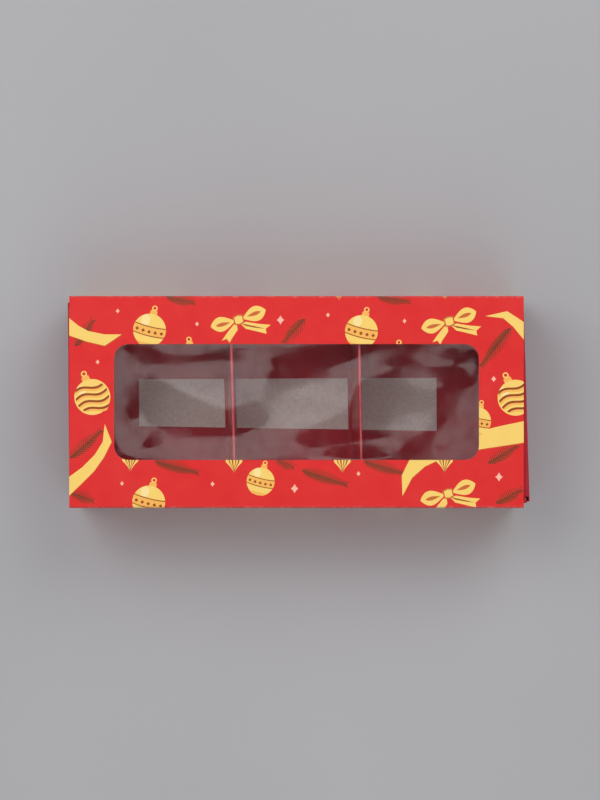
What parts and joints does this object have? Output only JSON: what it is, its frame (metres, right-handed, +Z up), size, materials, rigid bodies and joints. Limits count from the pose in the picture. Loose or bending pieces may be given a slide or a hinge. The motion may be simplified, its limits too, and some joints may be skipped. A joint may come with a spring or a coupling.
{
  "type": "sweet box",
  "caption": "Gift box of folded card: a printed sleeve with a film window, and a divided tray with rolled walls that slides through it.",
  "frame": {"origin": "on the table under the middle of the box", "axes": "+X along the tray's slide and the box's length, +Y to the rear, +Z up out of the window"},
  "size_m": [0.1914, 0.0888, 0.038],
  "materials": {
    "printed_card": "festive gold print on red, satin laminated boxboard",
    "clear_film": "clear glossy window film",
    "red_card": "plain red laminated boxboard, bare white inside"
  },
  "bodies": {
    "sleeve": {"sleeve": "printed_card", "window_film": "clear_film"},
    "tray": {"tray": "red_card", "divider_left": "red_card", "divider_right": "red_card"}
  },
  "joints": [
    {"name": "tray_slide", "type": "slide", "parent": "sleeve", "child": "tray", "axis": [1, 0, 0], "range_m": [-0.18, 0.18]}
  ]
}
